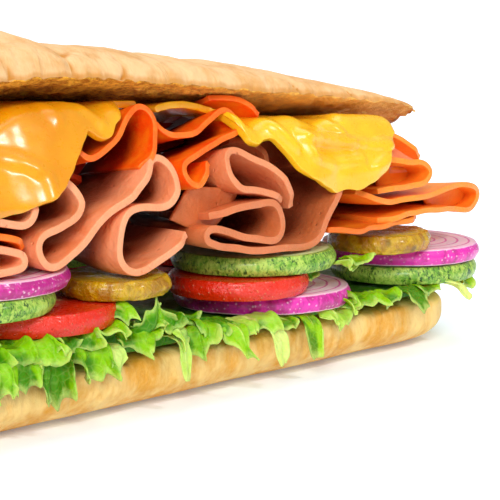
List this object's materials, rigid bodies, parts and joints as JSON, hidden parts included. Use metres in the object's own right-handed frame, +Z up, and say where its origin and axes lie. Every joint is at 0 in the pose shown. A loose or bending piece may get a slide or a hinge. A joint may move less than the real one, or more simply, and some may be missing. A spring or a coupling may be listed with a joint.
{
  "type": "submarine sandwich",
  "caption": "Long split loaf on its flat underside, with lettuce, vegetable slices, folded cured meats and hanging cheese between a lower half and a tilted upper half.",
  "frame": {"origin": "centre of the loaf's flat underside, on the surface that it rests on", "axes": "+X along the loaf, +Z up, and -Y is the open front, where the filling shows"},
  "size_m": [0.3213, 0.1006, 0.1025],
  "materials": {
    "crust": "baked bread crust, pale golden, matt",
    "crust_bottom": "baked bread crust, golden brown, matt",
    "lettuce": "fresh lettuce leaf, bright green, satin",
    "tomato": "cut tomato, red, wet",
    "cucumber": "cut cucumber with green skin, wet",
    "onion": "cut red onion, purple skin and pale rings, wet",
    "pickle": "pickled gherkin slice, olive yellow, wet",
    "ham": "cooked ham slice, pink, moist",
    "pepperoni": "cured sausage slice, orange red, oily",
    "cheese": "yellow cheese slice, softened, satin"
  },
  "bodies": {
    "root": {"bread_bottom": "crust_bottom", "bread_top": "crust", "cheese_1": "cheese", "cheese_2": "cheese", "cheese_3": "cheese", "cucumber_1": "cucumber", "cucumber_2": "cucumber", "cucumber_3": "cucumber", "cucumber_4": "cucumber", "cucumber_5": "cucumber", "cucumber_6": "cucumber", "cucumber_7": "cucumber", "ham_1": "ham", "ham_10": "ham", "ham_11": "ham", "ham_2": "ham", "ham_3": "ham", "ham_4": "ham", "ham_5": "ham", "ham_6": "ham", "ham_7": "ham", "ham_8": "ham", "ham_9": "ham", "lettuce": "lettuce", "onion_1": "onion", "onion_2": "onion", "onion_3": "onion", "onion_4": "onion", "onion_5": "onion", "onion_6": "onion", "pepperoni_1": "pepperoni", "pepperoni_10": "pepperoni", "pepperoni_2": "pepperoni", "pepperoni_3": "pepperoni", "pepperoni_4": "pepperoni", "pepperoni_5": "pepperoni", "pepperoni_6": "pepperoni", "pepperoni_7": "pepperoni", "pepperoni_8": "pepperoni", "pepperoni_9": "pepperoni", "pickle_1": "pickle", "pickle_2": "pickle", "pickle_3": "pickle", "pickle_4": "pickle", "tomato_1": "tomato", "tomato_2": "tomato", "tomato_3": "tomato", "tomato_4": "tomato", "tomato_5": "tomato", "tomato_6": "tomato", "tomato_7": "tomato"}
  },
  "joints": []
}
